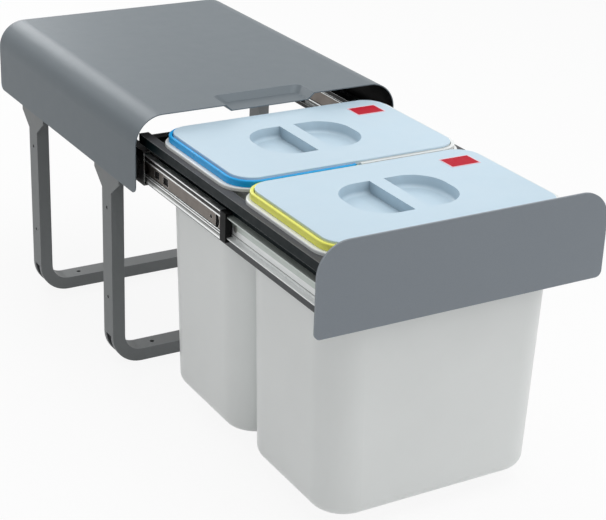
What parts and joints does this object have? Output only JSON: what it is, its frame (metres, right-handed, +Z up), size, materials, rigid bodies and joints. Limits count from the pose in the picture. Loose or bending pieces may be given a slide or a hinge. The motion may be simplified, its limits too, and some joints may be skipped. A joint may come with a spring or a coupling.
{
  "type": "pull-out recycling bin",
  "caption": "Built-in pull-out recycling bin: a bent metal hood on leg frames, with a drawer on ball slides that carries lidded buckets with folding handles behind a front panel.",
  "frame": {"origin": "on the cabinet floor, in the middle of the four floor screw holes of the leg frames", "axes": "+Z up, -Y to the front where the drawer pulls out, +X to the right as seen from the front"},
  "size_m": [0.34, 0.821, 0.3405],
  "materials": {
    "hood_paint": "satin metallic grey powder paint",
    "panel_paint": "satin metallic grey powder paint",
    "leg_paint": "satin grey paint",
    "rail_steel": "bright zinc plated",
    "black_rail_steel": "black plated",
    "side_alu": "dark anodised",
    "bar_paint": "satin black paint",
    "fastener_steel": "zinc plated",
    "black_plastic": "moulded",
    "bucket_plastic": "semi-gloss moulded, pale grey",
    "lid_plastic": "semi-gloss moulded, pale blue-white",
    "blue_plastic": "moulded, blue",
    "yellow_plastic": "moulded, yellow",
    "label_film": "plain red film, blank"
  },
  "bodies": {
    "stand": {"hood": "hood_paint", "hood_nuts": "fastener_steel", "front_leg_frame": "leg_paint", "rear_leg_frame": "leg_paint", "left_rail_brackets": "leg_paint", "left_rail_rivets": "fastener_steel", "left_outer_rail": "black_rail_steel", "right_rail_brackets": "leg_paint", "right_rail_rivets": "fastener_steel", "right_outer_rail": "black_rail_steel"},
    "carriage": {"rear_cross_bar": "bar_paint", "front_panel": "panel_paint", "panel_nuts": "fastener_steel", "front_corner_rivets": "fastener_steel", "rear_corner_rivets": "fastener_steel", "left_carriage_side": "side_alu", "left_inner_rail": "rail_steel", "left_inner_rail_rivets": "fastener_steel", "left_panel_bracket": "bar_paint", "right_carriage_side": "side_alu", "right_inner_rail": "rail_steel", "right_inner_rail_rivets": "fastener_steel", "right_panel_bracket": "bar_paint"},
    "left_middle_unit": {"left_middle_rail": "rail_steel", "left_rail_end_stop": "black_plastic"},
    "left_outer_cage_unit": {"left_outer_ball_cage": "black_plastic", "left_outer_balls": "fastener_steel"},
    "left_inner_cage_unit": {"left_inner_ball_cage": "black_plastic", "left_inner_balls": "fastener_steel"},
    "right_middle_unit": {"right_middle_rail": "rail_steel", "right_rail_end_stop": "black_plastic"},
    "right_outer_cage_unit": {"right_outer_ball_cage": "black_plastic", "right_outer_balls": "fastener_steel"},
    "right_inner_cage_unit": {"right_inner_ball_cage": "black_plastic", "right_inner_balls": "fastener_steel"},
    "rear_bucket_unit": {"rear_bucket": "bucket_plastic"},
    "rear_lid_unit": {"rear_lid": "lid_plastic", "rear_label": "label_film"},
    "rear_bail_unit": {"rear_bail": "blue_plastic"},
    "front_bucket_unit": {"front_bucket": "bucket_plastic"},
    "front_lid_unit": {"front_lid": "lid_plastic", "front_label": "label_film"},
    "front_bail_unit": {"front_bail": "yellow_plastic"}
  },
  "joints": [
    {"name": "drawer_slide", "type": "slide", "parent": "stand", "child": "carriage", "axis": [0, -1, 0], "range_m": [-0.393, 0]},
    {"name": "left_middle_slide", "type": "slide", "parent": "stand", "child": "left_middle_unit", "axis": [0, -1, 0], "range_m": [-0.1965, 0]},
    {"name": "left_outer_cage_roll", "type": "slide", "parent": "stand", "child": "left_outer_cage_unit", "axis": [0, -1, 0], "range_m": [-0.09825, 0]},
    {"name": "left_inner_cage_roll", "type": "slide", "parent": "stand", "child": "left_inner_cage_unit", "axis": [0, -1, 0], "range_m": [-0.29475, 0]},
    {"name": "right_middle_slide", "type": "slide", "parent": "stand", "child": "right_middle_unit", "axis": [0, -1, 0], "range_m": [-0.1965, 0]},
    {"name": "right_outer_cage_roll", "type": "slide", "parent": "stand", "child": "right_outer_cage_unit", "axis": [0, -1, 0], "range_m": [-0.09825, 0]},
    {"name": "right_inner_cage_roll", "type": "slide", "parent": "stand", "child": "right_inner_cage_unit", "axis": [0, -1, 0], "range_m": [-0.29475, 0]},
    {"name": "rear_bucket_lift", "type": "slide", "parent": "carriage", "child": "rear_bucket_unit", "axis": [0, 0, 1], "range_m": [0, 0.33]},
    {"name": "rear_lid_lift", "type": "slide", "parent": "rear_bucket_unit", "child": "rear_lid_unit", "axis": [0, 0, 1], "range_m": [0, 0.1]},
    {"name": "rear_bail_swing", "type": "hinge", "parent": "rear_bucket_unit", "child": "rear_bail_unit", "pos_m": [0, -0.295, 0.3184], "axis": [0, 1, 0], "range_deg": [0, 90]},
    {"name": "front_bucket_lift", "type": "slide", "parent": "carriage", "child": "front_bucket_unit", "axis": [0, 0, 1], "range_m": [0, 0.33]},
    {"name": "front_lid_lift", "type": "slide", "parent": "front_bucket_unit", "child": "front_lid_unit", "axis": [0, 0, 1], "range_m": [0, 0.1]},
    {"name": "front_bail_swing", "type": "hinge", "parent": "front_bucket_unit", "child": "front_bail_unit", "pos_m": [0, -0.483, 0.3184], "axis": [0, 1, 0], "range_deg": [0, 90]}
  ],
  "couplings": [
    {"joint": "left_middle_slide", "follows": "drawer_slide", "ratio": 0.5},
    {"joint": "left_outer_cage_roll", "follows": "drawer_slide", "ratio": 0.25},
    {"joint": "left_inner_cage_roll", "follows": "drawer_slide", "ratio": 0.75},
    {"joint": "right_middle_slide", "follows": "drawer_slide", "ratio": 0.5},
    {"joint": "right_outer_cage_roll", "follows": "drawer_slide", "ratio": 0.25},
    {"joint": "right_inner_cage_roll", "follows": "drawer_slide", "ratio": 0.75}
  ]
}
